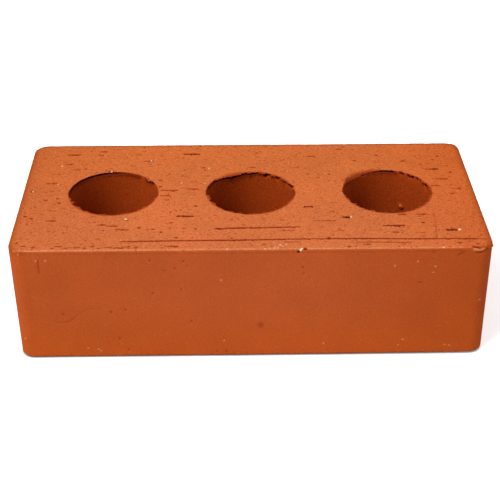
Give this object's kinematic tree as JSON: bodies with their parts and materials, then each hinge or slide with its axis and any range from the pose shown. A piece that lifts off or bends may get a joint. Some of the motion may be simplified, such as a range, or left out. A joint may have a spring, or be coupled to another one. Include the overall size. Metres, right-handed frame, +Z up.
{
  "type": "perforated clay brick",
  "caption": "Wire-cut fired clay brick with rounded upright corners and a row of round through holes, laid in mortar as wall masonry.",
  "frame": {"origin": "middle of the underside, which is the lower cut bed face", "axes": "+X along the length, +Y along the width towards the back stretcher face, +Z up along the holes"},
  "size_m": [0.205, 0.098, 0.055],
  "materials": {
    "fired_clay": "matte"
  },
  "bodies": {
    "root": {"brick": "fired_clay"}
  },
  "joints": []
}
